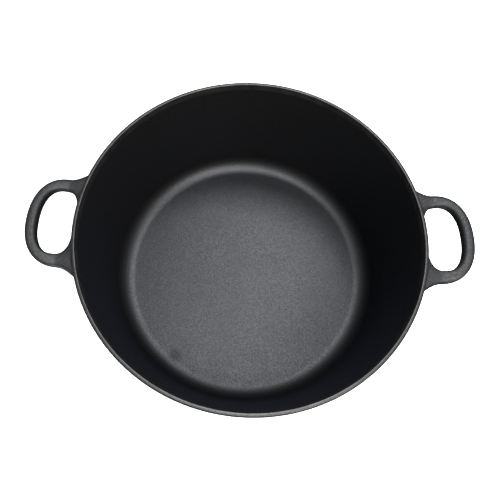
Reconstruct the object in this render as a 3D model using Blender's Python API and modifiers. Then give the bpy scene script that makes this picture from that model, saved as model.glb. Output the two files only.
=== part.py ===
"""Round cast iron dutch oven: an open pot with a loop handle on each side.

The origin is the middle of the base, on the surface that the pot stands on. +Z is up, and the
handles lie along +X and -X. Units are metres.
"""

import math

import bpy
import numpy as np

# Vessel
RIM_RADIUS = 0.143
RIM_WALL = 0.0032
RIM_OUTER_ROUND = 0.0016
RIM_INNER_ROUND = 0.0005
DEPTH = 0.125
FLOOR_RADIUS = 0.1193
CORNER_RADIUS = 0.016
FLOOR_THICKNESS = 0.0045
BASE_HEIGHT = 0.001
BASE_RADIUS = 0.114
HEIGHT = BASE_HEIGHT + FLOOR_THICKNESS + DEPTH
TURN_STEPS = 96
CORNER_POINTS = 8
RIM_INNER_POINTS = 3
RIM_OUTER_POINTS = 5

# Handle plan: u runs outward from the pot's axis, v along the tangent
HOLE_CENTRE = 0.158
HOLE_OUT = 0.0151
HOLE_IN = 0.013
HOLE_HALF = 0.0281
HOLE_OUT_POWER = 2.4
HOLE_IN_POWER = 2.7
LOOP_CENTRE = 0.1545
LOOP_OUT = 0.0271
LOOP_HALF = 0.0391
LOOP_POWER = 2.25
ARM_SPREAD = 39.0
ROOT_DEPTH = 0.002

# Handle section and height
GRIP_HALF_THICKNESS = 0.0039
INNER_SIDE_POWER = 3.4
OUTER_SIDE_POWER = 2.4
OUTER_THINNING = 0.3
WALL_FILLET = 0.003
ROOT_END = 0.0535
ROOT_TAPER_POWER = 1.1
HANDLE_DROP = 0.0113
CREASE_REACH = 0.154
HANDLE_SLOPE = 0.27
HANDLE_STATIONS = 44
SECTION_POINTS = 16

# Cone that cuts the handles' roots to the wall, and the gap that it leaves
CUTTER_DEPTH = 0.04
CUTTER_MARGIN = 0.01
GAP = 0.0003

# Black coating
BODY_BLACK = (0.024, 0.025, 0.027)
BODY_ROUGHNESS = 0.42
HANDLE_BLACK = (0.045, 0.046, 0.048)
HANDLE_ROUGHNESS = 0.55

MERGE = 0.00001
QUARTER_TURN = math.pi / 2


def clear_scene():
    """Remove every object that the file opened with."""
    for obj in list(bpy.data.objects):
        bpy.data.objects.remove(obj, do_unlink=True)


def new_collection(name):
    collection = bpy.data.collections.new(name)
    bpy.context.scene.collection.children.link(collection)
    return collection


def principled(name, colour, roughness):
    """A material with one Principled shader."""
    material = bpy.data.materials.new(name)
    material.use_nodes = True
    shader = material.node_tree.nodes["Principled BSDF"]
    shader.inputs["Base Color"].default_value = (*colour, 1.0)
    shader.inputs["Roughness"].default_value = roughness
    return material


def mesh_object(name, points, edges, faces, collection):
    """An object made from plain lists of points and their edges or faces."""
    mesh = bpy.data.meshes.new(name)
    mesh.from_pydata(points, edges, faces)
    obj = bpy.data.objects.new(name, mesh)
    collection.objects.link(obj)
    return obj


def arc(centre, radius, start, end, count):
    """Points of an arc, with its angles in degrees from +X towards +Z."""
    angles = np.radians(np.linspace(start, end, count))
    return [(centre[0] + radius * math.cos(a), centre[1] + radius * math.sin(a)) for a in angles]


def wall_lean(top_radius, top_height, corner):
    """Angle in degrees by which a wall leans out, from its rim down to the corner that it runs into."""
    across = top_radius - FLOOR_RADIUS
    up = top_height - (BASE_HEIGHT + FLOOR_THICKNESS + CORNER_RADIUS)
    return math.degrees(math.acos(corner / math.hypot(across, up)) - math.atan2(up, across))


OUTER_LEAN = wall_lean(RIM_RADIUS, HEIGHT - RIM_OUTER_ROUND, CORNER_RADIUS + FLOOR_THICKNESS)
INNER_LEAN = wall_lean(RIM_RADIUS - RIM_WALL, HEIGHT - RIM_INNER_ROUND, CORNER_RADIUS)


def wall_radius(depth):
    """Radius of the wall's outer face at a depth below the rim."""
    return RIM_RADIUS - (depth - RIM_OUTER_ROUND) * math.tan(math.radians(OUTER_LEAN))


def vessel_profile():
    """Half section of the vessel: up the inside, over the rim, down the outside and under the base."""
    corner = (FLOOR_RADIUS, BASE_HEIGHT + FLOOR_THICKNESS + CORNER_RADIUS)
    inner_rim = (RIM_RADIUS - RIM_WALL + RIM_INNER_ROUND, HEIGHT - RIM_INNER_ROUND)
    outer_rim = (RIM_RADIUS - RIM_OUTER_ROUND, HEIGHT - RIM_OUTER_ROUND)
    inside = [(0.0, BASE_HEIGHT + FLOOR_THICKNESS)]
    inside += arc(corner, CORNER_RADIUS, -90, -INNER_LEAN, CORNER_POINTS)
    rim = arc(inner_rim, RIM_INNER_ROUND, 180, 90, RIM_INNER_POINTS)
    rim += arc(outer_rim, RIM_OUTER_ROUND, 90, 0, RIM_OUTER_POINTS)
    outside = arc(corner, CORNER_RADIUS + FLOOR_THICKNESS, -OUTER_LEAN, -90, CORNER_POINTS)
    base = [(BASE_RADIUS + BASE_HEIGHT, BASE_HEIGHT), (BASE_RADIUS, 0.0), (0.0, 0.0)]
    return inside + rim + outside + base


def turn(obj):
    """Turn a profile at +X round the Z axis."""
    screw = obj.modifiers.new("turn", "SCREW")
    screw.steps = TURN_STEPS
    screw.render_steps = TURN_STEPS
    screw.use_merge_vertices = True
    screw.merge_threshold = MERGE


def make_vessel(collection):
    """The cast pot: floor, corner, leaning wall and rim in one turned shape."""
    points = [(r, 0.0, z) for r, z in vessel_profile()]
    edges = [(i, i + 1) for i in range(len(points) - 1)]
    vessel = mesh_object("pot_body", points, edges, [], collection)
    turn(vessel)
    return vessel


def superellipse(angle, across, half, power):
    """Point of a superellipse about (0, 0), at an angle from its long reach."""
    u = math.copysign(abs(math.cos(angle)) ** (2 / power), math.cos(angle)) * across
    v = abs(math.sin(angle)) ** (2 / power) * half
    return u, v


def fillet(distance, radius):
    """Extra size that a fillet adds at a distance from the wall that it runs into."""
    inside = min(max(distance, 0.0), radius)
    return radius - math.sqrt(radius ** 2 - (radius - inside) ** 2)


def hole_edge(angle):
    """Edge of the finger hole, from the grip (angle 0) round to the wall side (angle pi)."""
    if angle < QUARTER_TURN:
        u, v = superellipse(angle, HOLE_OUT, HOLE_HALF, HOLE_OUT_POWER)
    else:
        u, v = superellipse(angle, HOLE_IN, HOLE_HALF, HOLE_IN_POWER)
    return HOLE_CENTRE + u, v


def root_edge(radius):
    """Outer edge of the root at a radius from the pot's axis, flaring as it nears the wall."""
    reach = math.sqrt(radius ** 2 - LOOP_HALF ** 2)
    spread = ARM_SPREAD * max(LOOP_CENTRE - reach, 0.0) ** 2
    v = LOOP_HALF + spread
    return math.sqrt(radius ** 2 - v ** 2), v


def loop_edge(angle):
    """Outer edge of the handle at the same angle: the loop, its root, then a line inside the wall."""
    if angle < QUARTER_TURN:
        u, v = superellipse(angle, LOOP_OUT, LOOP_HALF, LOOP_POWER)
        return LOOP_CENTRE + u, v
    start = math.hypot(LOOP_CENTRE, LOOP_HALF)
    end = wall_radius(HANDLE_DROP) - ROOT_DEPTH
    along = (angle - QUARTER_TURN) / (QUARTER_TURN / 2)
    if along < 1:
        return root_edge(start + (end - start) * along)
    swing = math.atan2(*reversed(root_edge(end))) * (2 - along)
    return end * math.cos(swing), end * math.sin(swing)


def root_taper(v):
    """Share of its thickness that the root keeps as it flares out along the wall."""
    flare = min(max((v - LOOP_HALF) / (ROOT_END - LOOP_HALF), 0.0), 1.0)
    return (1 - flare ** 2) ** ROOT_TAPER_POWER


def section_point(turn_angle, inner, outer, roundness):
    """Point of the handle's section between its two edges, crowned nearer its inner edge."""
    power = INNER_SIDE_POWER if math.cos(turn_angle) < 0 else OUTER_SIDE_POWER
    across, up = superellipse(turn_angle, 1.0, 1.0, power)
    up = math.copysign(up, math.sin(turn_angle))
    share = (1 + across) / 2
    u, v = (a + (b - a) * share for a, b in zip(inner, outer))
    thickness = GRIP_HALF_THICKNESS * (1 - OUTER_THINNING * roundness * share ** 2)
    taper = root_taper(abs(v))
    thickness += fillet(math.hypot(u, v) - wall_radius(HANDLE_DROP), WALL_FILLET) * taper
    thickness *= taper
    rise = HANDLE_SLOPE * max(u - CREASE_REACH, 0.0)
    return u, v, up * thickness + rise - HANDLE_DROP


def make_handle(name, heading, wall, collection):
    """A loop handle, lofted for one half from its grip round to the wall, mirrored, and cut to the wall."""
    points = []
    for angle in np.linspace(0.0, math.pi, HANDLE_STATIONS):
        roundness = max(math.cos(angle), 0.0)
        for turn_angle in np.arange(SECTION_POINTS) * math.tau / SECTION_POINTS:
            points.append(section_point(turn_angle, hole_edge(angle), loop_edge(angle), roundness))
    faces = []
    for station in range(HANDLE_STATIONS - 1):
        for k in range(SECTION_POINTS):
            a = station * SECTION_POINTS + k
            b = station * SECTION_POINTS + (k + 1) % SECTION_POINTS
            faces.append((a, a + SECTION_POINTS, b + SECTION_POINTS, b))
    handle = mesh_object(name, points, [], faces, collection)
    handle.location = (0.0, 0.0, HEIGHT)
    handle.rotation_euler = (0.0, 0.0, math.radians(heading))
    mirror = handle.modifiers.new("other_half", "MIRROR")
    mirror.use_axis = (False, True, False)
    mirror.merge_threshold = MERGE
    cut = handle.modifiers.new("fit_to_wall", "BOOLEAN")
    cut.operation = "DIFFERENCE"
    cut.object = wall
    return handle


def make_wall_cutter(collection):
    """A cone a gap larger than the pot's wall, over the height of the handles' roots."""
    top = wall_radius(-CUTTER_MARGIN) + GAP
    bottom = wall_radius(CUTTER_DEPTH) + GAP
    bpy.ops.mesh.primitive_cone_add(
        vertices=TURN_STEPS,
        radius1=bottom,
        radius2=top,
        depth=CUTTER_DEPTH + CUTTER_MARGIN,
        location=(0.0, 0.0, HEIGHT + (CUTTER_MARGIN - CUTTER_DEPTH) / 2),
    )
    cutter = bpy.context.object
    cutter.name = "wall_cutter"
    cutter.hide_render = True
    cutter.display_type = "WIRE"
    for owner in list(cutter.users_collection):
        owner.objects.unlink(cutter)
    collection.objects.link(cutter)
    return cutter


def finish(obj, material):
    """Give a sub-part its material and smooth shading."""
    obj.data.materials.append(material)
    obj.data.shade_smooth()


def build():
    clear_scene()
    parts = new_collection("dutch_oven")
    cutters = new_collection("cutters")
    body_iron = principled("body_iron", BODY_BLACK, BODY_ROUGHNESS)
    handle_iron = principled("handle_iron", HANDLE_BLACK, HANDLE_ROUGHNESS)
    wall = make_wall_cutter(cutters)
    finish(make_vessel(parts), body_iron)
    for name, heading in (("handle_right", 0.0), ("handle_left", 180.0)):
        finish(make_handle(name, heading, wall, parts), handle_iron)


build()
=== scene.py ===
"""Looks for the cast iron dutch oven: the fine casting, its black coating, the studio and the camera."""
import math

import bpy
import numpy as np
from mathutils import Matrix, Vector


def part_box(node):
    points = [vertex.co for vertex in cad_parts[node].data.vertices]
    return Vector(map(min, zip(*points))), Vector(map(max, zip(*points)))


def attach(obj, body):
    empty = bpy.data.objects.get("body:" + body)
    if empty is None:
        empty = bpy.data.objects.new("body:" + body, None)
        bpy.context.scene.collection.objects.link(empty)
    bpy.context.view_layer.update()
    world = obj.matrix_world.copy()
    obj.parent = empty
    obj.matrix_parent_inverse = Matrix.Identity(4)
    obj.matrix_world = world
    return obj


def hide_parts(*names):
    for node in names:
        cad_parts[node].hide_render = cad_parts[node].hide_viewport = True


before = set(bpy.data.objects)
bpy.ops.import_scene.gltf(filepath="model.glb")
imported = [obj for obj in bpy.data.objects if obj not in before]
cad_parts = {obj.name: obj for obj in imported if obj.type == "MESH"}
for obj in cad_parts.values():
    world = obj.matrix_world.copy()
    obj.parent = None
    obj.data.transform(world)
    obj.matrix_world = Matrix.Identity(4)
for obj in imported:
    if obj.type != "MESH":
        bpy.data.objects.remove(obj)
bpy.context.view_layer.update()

# Vessel: its outer size comes from the frame, the rest repeats the CAD's dimensions (metres)
RIM_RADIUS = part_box("pot_body")[1][1]
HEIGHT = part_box("pot_body")[1][2]
RIM_WALL = 0.0032
RIM_OUTER_ROUND = 0.0016
RIM_INNER_ROUND = 0.0005
FLOOR_RADIUS = 0.1193
CORNER_RADIUS = 0.016
FLOOR_THICKNESS = 0.0045
BASE_HEIGHT = 0.001
BASE_RADIUS = 0.114
FLOOR_LEVEL = BASE_HEIGHT + FLOOR_THICKNESS

# How finely the vessel is turned: points round it, on its curves and along its straight stretches
TURN_STEPS = 288
FLOOR_POINTS = 14
INNER_CORNER_POINTS = 26
OUTER_CORNER_POINTS = 22
WALL_POINTS = 18
RIM_INNER_POINTS = 7
RIM_TOP_POINTS = 2
RIM_OUTER_POINTS = 12

# Handle plan and section, as in the CAD
HANDLE_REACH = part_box("handle_right")[1][0]
HOLE_CENTRE = 0.158
HOLE_OUT = 0.0151
HOLE_IN = 0.013
HOLE_HALF = 0.0281
HOLE_OUT_POWER = 2.4
HOLE_IN_POWER = 2.7
LOOP_CENTRE = 0.1545
LOOP_OUT = HANDLE_REACH - LOOP_CENTRE
LOOP_HALF = 0.0391
LOOP_POWER = 2.25
ARM_SPREAD = 39.0
ROOT_DEPTH = 0.002
GRIP_HALF_THICKNESS = 0.0039
INNER_SIDE_POWER = 3.4
OUTER_SIDE_POWER = 2.4
OUTER_THINNING = 0.3
WALL_FILLET = 0.003
ROOT_END = 0.0535
ROOT_TAPER_POWER = 1.1
HANDLE_DROP = 0.0113
CREASE_REACH = 0.154
HANDLE_SLOPE = 0.27
CREASE_SOFTNESS = 0.0015
HANDLE_STATIONS = 150
SECTION_POINTS = 48
QUARTER_TURN = math.pi / 2

# Marks: the mark on the floor, the painted highlight along the rim's inner line, the rubbed foot and a
# lighter line along the handles' shoulders
MARK_PLACE = (-0.0687, -0.0951, FLOOR_LEVEL)
MARK_EDGE = 0.0085
MARK_CORE = 0.0035
MARK_SHARE = 0.45
MARK_COLOUR = (0.008, 0.008, 0.009)
# Painted highlight: the rim's inner line between these radii takes a lighter colour
RIM_LINE_EDGE = 0.1410
RIM_LINE_CORE = 0.1402
RIM_HIGHLIGHT_COLOUR = (0.058, 0.058, 0.057)
FOOT_WEAR_TOP = 0.0035
FOOT_WEAR_FULL = 0.0002
FOOT_WORN = (0.12, 0.12, 0.12)
SHOULDER_SHARE = 0.9
# A lighter colour along the handles' outer shoulders, in broken lengths
SHOULDER_PALE_COLOUR = (0.12, 0.12, 0.118)

# Coating: how it reflects, and its mottling and grain. Frequencies and heights are shares of the grain's.
METALLIC = 0.92
SPECULAR_LEVEL = 0.2
MOTTLE_SCALE = 28.0
FINE_GRAIN_FREQUENCY = 3.1
SPECKLE_FREQUENCY = 0.8
FINE_GRAIN_HEIGHT = 0.3

# Looks of the coatings. dark and light are the reflection seen straight on, sheen is the roughness
# of light and dark speckles, and edge is the tint at a glance.
INSIDE_LOOK = {
    "dark": (0.0210, 0.0216, 0.0228),
    "light": (0.0335, 0.0345, 0.0364),
    "sheen": (0.44, 0.52),
    "grain_size": 0.0013,
    "grain_height": 0.00014,
    "edge": (0.42, 0.44, 0.60),
}
RIM_LOOK = {
    "dark": (0.018, 0.018, 0.0185),
    "light": (0.032, 0.032, 0.033),
    "sheen": (0.42, 0.5),
    "grain_size": 0.0010,
    "grain_height": 0.00005,
    "edge": (0.3, 0.3, 0.32),
}
OUTSIDE_LOOK = {
    "dark": (0.024, 0.024, 0.0252),
    "light": (0.038, 0.038, 0.0396),
    "sheen": (0.46, 0.58),
    "grain_size": 0.0012,
    "grain_height": 0.00010,
    "edge": (0.3, 0.3, 0.33),
}
HANDLE_LOOK = {
    "dark": (0.018, 0.0183, 0.0194),
    "light": (0.0352, 0.0356, 0.0376),
    "sheen": (0.48, 0.60),
    "grain_size": 0.0012,
    "grain_height": 0.00010,
    "edge": (0.1, 0.1, 0.11),
}

# Studio. Each light has a name, a place, an aim, a size, a power in watts and a colour.
STAGE_SIZE = 12.0
STAGE_COLOUR = (0.93, 0.93, 0.93, 1.0)
STAGE_ROUGHNESS = 0.9
SKY_COLOUR = (0.98, 0.99, 1.0, 1.0)
SKY_STRENGTH = 0.82
LIGHTS = (
    ("overhead", (0.0, -0.24, 1.3), (0.0, 0.0, 0.0), (0.5, 0.4), 19.0, (1.0, 1.0, 1.0)),
    ("back", (0.18, 0.60, 1.3), (0.0, 0.0, 0.0), (0.5, 0.4), 21.0, (0.97, 0.99, 1.0)),
    ("side", (0.40, -0.60, 1.1), (0.0, 0.0, 0.05), (0.4, 0.4), 22.0, (1.0, 0.95, 0.88)),
)

# Camera: angles in degrees, and its place from the middle of the rim's plane
CAMERA_TILT = 18.63
CAMERA_TURN = -0.975
CAMERA_ROLL = 3.455
CAMERA_PLACE = (-0.01312, -0.12166, 0.28515)
CAMERA_LENS = 27.738
CAMERA_SENSOR = 36.0
CAMERA_SHIFT = (0.029, 0.0096)
CAMERA_NEAREST = 0.01

# Order of the vessel's materials
INSIDE, RIM, OUTSIDE = range(3)


# ---------------------------------------------------------------- shapes

def arc(centre, radius, start, end, count):
    """Points of an arc, with its angles in degrees from +X towards +Z."""
    angles = np.radians(np.linspace(start, end, count))
    return [(centre[0] + radius * math.cos(a), centre[1] + radius * math.sin(a)) for a in angles]


def straight(start, end, count):
    """Points between two ends, without the ends themselves."""
    shares = np.linspace(0.0, 1.0, count + 2)[1:-1]
    return [(start[0] + (end[0] - start[0]) * s, start[1] + (end[1] - start[1]) * s) for s in shares]


def wall_lean(top_radius, top_height, corner):
    """Angle in degrees by which a wall leans out, from its rim down to its corner."""
    across = top_radius - FLOOR_RADIUS
    up = top_height - (FLOOR_LEVEL + CORNER_RADIUS)
    return math.degrees(math.acos(corner / math.hypot(across, up)) - math.atan2(up, across))


OUTER_LEAN = wall_lean(RIM_RADIUS, HEIGHT - RIM_OUTER_ROUND, CORNER_RADIUS + FLOOR_THICKNESS)
INNER_LEAN = wall_lean(RIM_RADIUS - RIM_WALL, HEIGHT - RIM_INNER_ROUND, CORNER_RADIUS)


def wall_radius(depth):
    """Radius of the wall's outer face at a depth below the rim."""
    return RIM_RADIUS - (depth - RIM_OUTER_ROUND) * math.tan(math.radians(OUTER_LEAN))


def mesh_piece(name, points, faces, materials):
    """A smooth shaded object made from points and faces."""
    mesh = bpy.data.meshes.new(name)
    mesh.from_pydata(points, [], faces)
    for material in materials:
        mesh.materials.append(material)
    mesh.shade_smooth()
    obj = bpy.data.objects.new(name, mesh)
    bpy.context.scene.collection.objects.link(obj)
    return obj


def vessel_profile():
    """Half section as (radius, height, material index), from the floor's middle to the base's."""
    corner = (FLOOR_RADIUS, FLOOR_LEVEL + CORNER_RADIUS)
    inner_rim = (RIM_RADIUS - RIM_WALL + RIM_INNER_ROUND, HEIGHT - RIM_INNER_ROUND)
    outer_rim = (RIM_RADIUS - RIM_OUTER_ROUND, HEIGHT - RIM_OUTER_ROUND)
    middle = (0.0, FLOOR_LEVEL)
    bend_in = arc(corner, CORNER_RADIUS, -90, -INNER_LEAN, INNER_CORNER_POINTS)
    lip_in = arc(inner_rim, RIM_INNER_ROUND, 180, 90, RIM_INNER_POINTS)
    lip_out = arc(outer_rim, RIM_OUTER_ROUND, 90, 0, RIM_OUTER_POINTS)
    bend_out = arc(corner, CORNER_RADIUS + FLOOR_THICKNESS, -OUTER_LEAN, -90, OUTER_CORNER_POINTS)
    inside = [middle] + straight(middle, bend_in[0], FLOOR_POINTS) + bend_in
    inside += straight(bend_in[-1], lip_in[0], WALL_POINTS)
    rim = lip_in + straight(lip_in[-1], lip_out[0], RIM_TOP_POINTS) + lip_out
    outside = straight(lip_out[-1], bend_out[0], WALL_POINTS) + bend_out
    outside += [(BASE_RADIUS + BASE_HEIGHT, BASE_HEIGHT), (BASE_RADIUS, 0.0), (0.0, 0.0)]
    sections = ((inside, INSIDE), (rim, RIM), (outside, OUTSIDE))
    return [(r, z, index) for section, index in sections for r, z in section]


def make_vessel(materials):
    """The turned pot, with one material inside, one on the rim and one outside."""
    profile = vessel_profile()
    ring = profile[1:-1]
    points = [(0.0, 0.0, profile[0][1])]
    for r, z, _ in ring:
        for step in range(TURN_STEPS):
            angle = math.tau * step / TURN_STEPS
            points.append((r * math.cos(angle), r * math.sin(angle), z))
    points.append((0.0, 0.0, profile[-1][1]))
    faces = []
    indices = []
    last = len(points) - 1
    for step in range(TURN_STEPS):
        after = (step + 1) % TURN_STEPS
        faces.append((0, 1 + step, 1 + after))
        indices.append(INSIDE)
        for row in range(len(ring) - 1):
            low = 1 + row * TURN_STEPS
            high = low + TURN_STEPS
            faces.append((low + step, high + step, high + after, low + after))
            indices.append(ring[row + 1][2])
        end = 1 + (len(ring) - 1) * TURN_STEPS
        faces.append((end + step, last, end + after))
        indices.append(OUTSIDE)
    vessel = mesh_piece("pot_casting", points, faces, materials)
    vessel.data.polygons.foreach_set("material_index", indices)
    return vessel


def superellipse(angle, across, half, power):
    """Point of a superellipse about (0, 0), at an angle from its long reach."""
    u = math.copysign(abs(math.cos(angle)) ** (2 / power), math.cos(angle)) * across
    v = abs(math.sin(angle)) ** (2 / power) * half
    return u, v


def fillet(distance, radius):
    """Extra size that a fillet adds at a distance from the wall that it runs into."""
    inside = min(max(distance, 0.0), radius)
    return radius - math.sqrt(radius ** 2 - (radius - inside) ** 2)


def hole_edge(angle):
    """Edge of the finger hole, from the grip (angle 0) round to the wall side (angle pi)."""
    if angle < QUARTER_TURN:
        u, v = superellipse(angle, HOLE_OUT, HOLE_HALF, HOLE_OUT_POWER)
    else:
        u, v = superellipse(angle, HOLE_IN, HOLE_HALF, HOLE_IN_POWER)
    return HOLE_CENTRE + u, v


def root_edge(radius):
    """Outer edge of the root at a radius from the pot's axis, flaring as it nears the wall."""
    reach = math.sqrt(radius ** 2 - LOOP_HALF ** 2)
    spread = ARM_SPREAD * max(LOOP_CENTRE - reach, 0.0) ** 2
    v = LOOP_HALF + spread
    return math.sqrt(radius ** 2 - v ** 2), v


def loop_edge(angle):
    """Outer edge of the handle at the same angle: the loop, its root, then a line inside the wall."""
    if angle < QUARTER_TURN:
        u, v = superellipse(angle, LOOP_OUT, LOOP_HALF, LOOP_POWER)
        return LOOP_CENTRE + u, v
    start = math.hypot(LOOP_CENTRE, LOOP_HALF)
    end = wall_radius(HANDLE_DROP) - ROOT_DEPTH
    along = (angle - QUARTER_TURN) / (QUARTER_TURN / 2)
    if along < 1:
        return root_edge(start + (end - start) * along)
    swing = math.atan2(*reversed(root_edge(end))) * (2 - along)
    return end * math.cos(swing), end * math.sin(swing)


def root_taper(v):
    """Share of its thickness that the root keeps as it flares out along the wall."""
    flare = min(max((v - LOOP_HALF) / (ROOT_END - LOOP_HALF), 0.0), 1.0)
    return (1 - flare ** 2) ** ROOT_TAPER_POWER


def section_point(turn_angle, inner, outer, roundness):
    """Point of the handle's section between its two edges, crowned nearer its inner edge."""
    power = INNER_SIDE_POWER if math.cos(turn_angle) < 0 else OUTER_SIDE_POWER
    across, up = superellipse(turn_angle, 1.0, 1.0, power)
    up = math.copysign(up, math.sin(turn_angle))
    share = (1 + across) / 2
    u, v = (a + (b - a) * share for a, b in zip(inner, outer))
    thickness = GRIP_HALF_THICKNESS * (1 - OUTER_THINNING * roundness * share ** 2)
    taper = root_taper(abs(v))
    thickness += fillet(math.hypot(u, v) - wall_radius(HANDLE_DROP), WALL_FILLET) * taper
    thickness *= taper
    past_crease = u - CREASE_REACH
    rise = HANDLE_SLOPE * (past_crease + math.hypot(past_crease, CREASE_SOFTNESS)) / 2
    return u, v, up * thickness + rise - HANDLE_DROP


def make_handle(name, side, material):
    """One loop handle on the +X (side 1) or -X (side -1) side of the pot.

    For the lighter shoulder line, its points say where they lie across the top: 1 outside, -1 at the hole
    and below.
    """
    rings = []
    across = []
    angles = np.linspace(-math.pi, math.pi, 2 * HANDLE_STATIONS + 1)[:-1]
    for angle in angles:
        roundness = max(math.cos(angle), 0.0)
        inner, outer = hole_edge(abs(angle)), loop_edge(abs(angle))
        mirror = math.copysign(1.0, angle)
        ring = []
        for turn_angle in np.arange(SECTION_POINTS) * math.tau / SECTION_POINTS:
            u, v, w = section_point(turn_angle, inner, outer, roundness)
            ring.append((side * u, side * v * mirror, HEIGHT + w))
            across.append(math.cos(turn_angle) if turn_angle < math.pi else -1.0)
        rings.append(ring)
    points = [point for ring in rings for point in ring]
    faces = []
    for station in range(len(rings)):
        a = station * SECTION_POINTS
        b = (station + 1) % len(rings) * SECTION_POINTS
        for k in range(SECTION_POINTS):
            after = (k + 1) % SECTION_POINTS
            faces.append((a + k, b + k, b + after, a + after))
    handle = mesh_piece(name, points, faces, [material])
    handle.data.attributes.new("across_top", "FLOAT", "POINT").data.foreach_set("value", across)
    return handle


# ---------------------------------------------------------------- materials

class Nodes:
    """A short way to add nodes to one material and join them."""

    def __init__(self, name):
        self.material = bpy.data.materials.new(name)
        self.material.use_nodes = True
        self.tree = self.material.node_tree
        self.shader = self.tree.nodes["Principled BSDF"]

    def add(self, kind, inputs=None, **settings):
        node = self.tree.nodes.new(kind)
        for key, value in settings.items():
            setattr(node, key, value)
        for key, value in (inputs or {}).items():
            if isinstance(value, bpy.types.NodeSocket):
                self.tree.links.new(value, node.inputs[key])
            else:
                node.inputs[key].default_value = value
        return node

    def noise(self, scale, detail, roughness):
        place = self.add("ShaderNodeTexCoord").outputs["Object"]
        inputs = {"Vector": place, "Scale": scale, "Detail": detail, "Roughness": roughness}
        return self.add("ShaderNodeTexNoise", inputs).outputs["Fac"]

    def height(self):
        place = self.add("ShaderNodeTexCoord").outputs["Object"]
        return self.add("ShaderNodeSeparateXYZ", {"Vector": place}).outputs["Z"]

    def distance(self, centre, scale=(1.0, 1.0, 1.0)):
        """Distance from a point, with each axis counted by its scale."""
        place = self.add("ShaderNodeTexCoord").outputs["Object"]
        offset = self.add("ShaderNodeVectorMath", {0: place, 1: centre}, operation="SUBTRACT").outputs[0]
        offset = self.add("ShaderNodeVectorMath", {0: offset, 1: scale}, operation="MULTIPLY").outputs[0]
        return self.add("ShaderNodeVectorMath", {0: offset}, operation="LENGTH").outputs["Value"]

    def times(self, first, second):
        return self.add("ShaderNodeMath", {0: first, 1: second}, operation="MULTIPLY").outputs[0]

    def spread(self, value, low, high, to_low=0.0, to_high=1.0):
        """A value moved from one range to another and kept inside it."""
        inputs = {"Value": value, "From Min": low, "From Max": high, "To Min": to_low, "To Max": to_high}
        return self.add("ShaderNodeMapRange", inputs).outputs["Result"]

    def mix(self, share, first, second):
        """Two colours mixed. In the node's list, 0 is the share, and 6 and 7 are the colours."""
        node = self.add("ShaderNodeMix", data_type="RGBA")
        for key, value in ((0, share), (6, first), (7, second)):
            if isinstance(value, bpy.types.NodeSocket):
                self.tree.links.new(value, node.inputs[key])
            else:
                node.inputs[key].default_value = value if key == 0 else (*value, 1.0)
        return node.outputs[2]

    def bump(self, height, distance, normal=None):
        inputs = {"Height": height, "Strength": 1.0, "Distance": distance}
        if normal is not None:
            inputs["Normal"] = normal
        return self.add("ShaderNodeBump", inputs).outputs["Normal"]

    def link(self, socket, name):
        self.tree.links.new(socket, self.shader.inputs[name])


def coating(name, dark, light, sheen, grain_size, grain_height, edge, marks_and_highlight):
    """Black coating on cast iron: mottled colour, uneven sheen and a fine orange-peel grain.

    The marks function takes the nodes and gives (share, colour) where the coating is rubbed or marked,
    and on the rim where a highlight is painted.
    """
    nodes = Nodes(name)
    mottle = nodes.noise(scale=MOTTLE_SCALE, detail=6.0, roughness=0.65)
    grain = nodes.noise(scale=1 / grain_size, detail=3.0, roughness=0.6)
    fine = nodes.noise(scale=FINE_GRAIN_FREQUENCY / grain_size, detail=1.0, roughness=0.5)
    speckle = nodes.noise(scale=SPECKLE_FREQUENCY / grain_size, detail=3.0, roughness=0.8)
    speckle = nodes.spread(speckle, low=0.35, high=0.65)
    cloud = nodes.spread(mottle, low=0.3, high=0.7, to_low=0.7)
    tone = nodes.times(speckle, cloud)
    # Marks on the coating, and on the rim a painted highlight
    share, overlay_colour = marks_and_highlight(nodes)
    nodes.link(nodes.mix(share, nodes.mix(tone, dark, light), overlay_colour), "Base Color")
    light_sheen, dark_sheen = sheen
    roughness = nodes.spread(tone, low=0.0, high=1.0, to_low=dark_sheen, to_high=light_sheen)
    nodes.link(roughness, "Roughness")
    coarse_bump = nodes.bump(grain, grain_height)
    nodes.link(nodes.bump(fine, grain_height * FINE_GRAIN_HEIGHT, coarse_bump), "Normal")
    nodes.shader.inputs["Metallic"].default_value = METALLIC
    nodes.shader.inputs["Specular IOR Level"].default_value = SPECULAR_LEVEL
    nodes.shader.inputs["Specular Tint"].default_value = (*edge, 1.0)
    return nodes.material


def inside_wear(nodes):
    """A small darker mark on the floor, close to its corner."""
    mark = nodes.spread(nodes.distance(MARK_PLACE), low=MARK_EDGE, high=MARK_CORE)
    return nodes.times(mark, MARK_SHARE), MARK_COLOUR


def rim_painted_highlight(nodes):
    """Painted highlight: the rim's inner line is painted brighter in an uneven way."""
    from_axis = nodes.distance((0.0, 0.0, 0.0), scale=(1.0, 1.0, 0.0))
    inner_line = nodes.spread(from_axis, low=RIM_LINE_EDGE, high=RIM_LINE_CORE)
    patches = nodes.noise(scale=90.0, detail=5.0, roughness=0.7)
    patches = nodes.spread(patches, low=0.35, high=0.6, to_low=0.35)
    return nodes.times(inner_line, patches), RIM_HIGHLIGHT_COLOUR


def outside_wear(nodes):
    """The foot is rubbed where it slides on a hob."""
    foot = nodes.spread(nodes.height(), low=FOOT_WEAR_TOP, high=FOOT_WEAR_FULL)
    patches = nodes.spread(nodes.noise(scale=120.0, detail=5.0, roughness=0.7), low=0.42, high=0.62)
    return nodes.times(foot, patches), FOOT_WORN


def handle_shoulder_line(nodes):
    """The shoulder along the grip's outer edge is made lighter in broken lengths."""
    across = nodes.add("ShaderNodeAttribute", attribute_name="across_top").outputs["Fac"]
    from_top = nodes.spread(across, low=0.72, high=0.80)
    to_side = nodes.spread(across, low=0.96, high=0.88)
    shoulder = nodes.times(from_top, to_side)
    patches = nodes.spread(nodes.noise(scale=45.0, detail=6.0, roughness=0.7), low=0.46, high=0.60)
    return nodes.times(nodes.times(shoulder, patches), SHOULDER_SHARE), SHOULDER_PALE_COLOUR


# ---------------------------------------------------------------- studio

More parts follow.
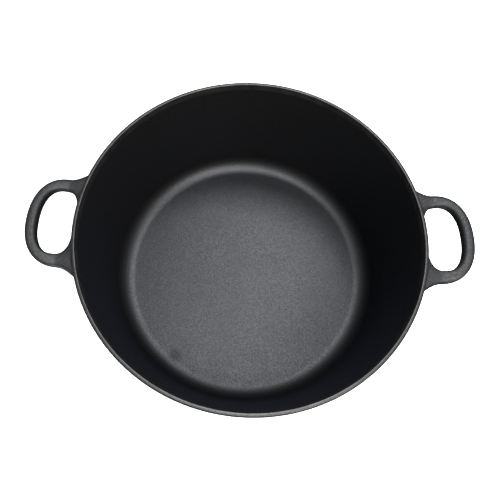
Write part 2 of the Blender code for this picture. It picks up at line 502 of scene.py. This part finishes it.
def make_stage():
    """A wide pale floor under the pot."""
    bpy.ops.mesh.primitive_plane_add(size=STAGE_SIZE, location=(0.0, 0.0, 0.0))
    floor = bpy.context.object
    floor.name = "studio_floor"
    nodes = Nodes("studio_floor")
    nodes.shader.inputs["Base Color"].default_value = STAGE_COLOUR
    nodes.shader.inputs["Roughness"].default_value = STAGE_ROUGHNESS
    floor.data.materials.append(nodes.material)


def area_light(name, place, aim, size, power, colour):
    data = bpy.data.lights.new(name, "AREA")
    data.shape = "RECTANGLE"
    data.size, data.size_y = size
    data.energy = power
    data.color = colour
    light = bpy.data.objects.new(name, data)
    light.location = place
    light.rotation_euler = (Vector(aim) - Vector(place)).to_track_quat("-Z", "Y").to_euler()
    bpy.context.scene.collection.objects.link(light)


def make_light():
    """An even sky and three soft lights."""
    world = bpy.data.worlds.new("studio")
    world.use_nodes = True
    background = world.node_tree.nodes["Background"]
    background.inputs["Color"].default_value = SKY_COLOUR
    background.inputs["Strength"].default_value = SKY_STRENGTH
    bpy.context.scene.world = world
    for light in LIGHTS:
        area_light(*light)


def make_camera():
    """The camera stands above the near side of the rim and looks down into the pot."""
    data = bpy.data.cameras.new("camera")
    data.lens = CAMERA_LENS
    data.sensor_width = CAMERA_SENSOR
    data.shift_x, data.shift_y = CAMERA_SHIFT
    data.clip_start = CAMERA_NEAREST
    camera = bpy.data.objects.new("camera", data)
    turn = Matrix.Rotation(math.radians(CAMERA_TURN), 4, "Z")
    tilt = Matrix.Rotation(math.radians(CAMERA_TILT), 4, "X")
    roll = Matrix.Rotation(math.radians(CAMERA_ROLL), 4, "Z")
    place = Vector(CAMERA_PLACE) + Vector((0.0, 0.0, HEIGHT))
    camera.matrix_world = Matrix.Translation(place) @ turn @ tilt @ roll
    bpy.context.scene.collection.objects.link(camera)
    bpy.context.scene.camera = camera


def main():
    inside = coating("inside_coating", **INSIDE_LOOK, marks_and_highlight=inside_wear)
    # The rim coating carries a painted highlight along its inner line
    rim = coating("rim_coating", **RIM_LOOK, marks_and_highlight=rim_painted_highlight)
    outside = coating("outside_coating", **OUTSIDE_LOOK, marks_and_highlight=outside_wear)
    handle_coat = coating("handle_coating", **HANDLE_LOOK, marks_and_highlight=handle_shoulder_line)
    vessel = make_vessel([inside, rim, outside])
    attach(vessel, "root")
    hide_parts("pot_body")
    for node, side in (("handle_right", 1), ("handle_left", -1)):
        handle = make_handle(node.replace("handle", "ear"), side, handle_coat)
        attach(handle, "root")
        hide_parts(node)
    make_stage()
    make_light()
    make_camera()
    bpy.context.scene.view_settings.view_transform = "Standard"


main()
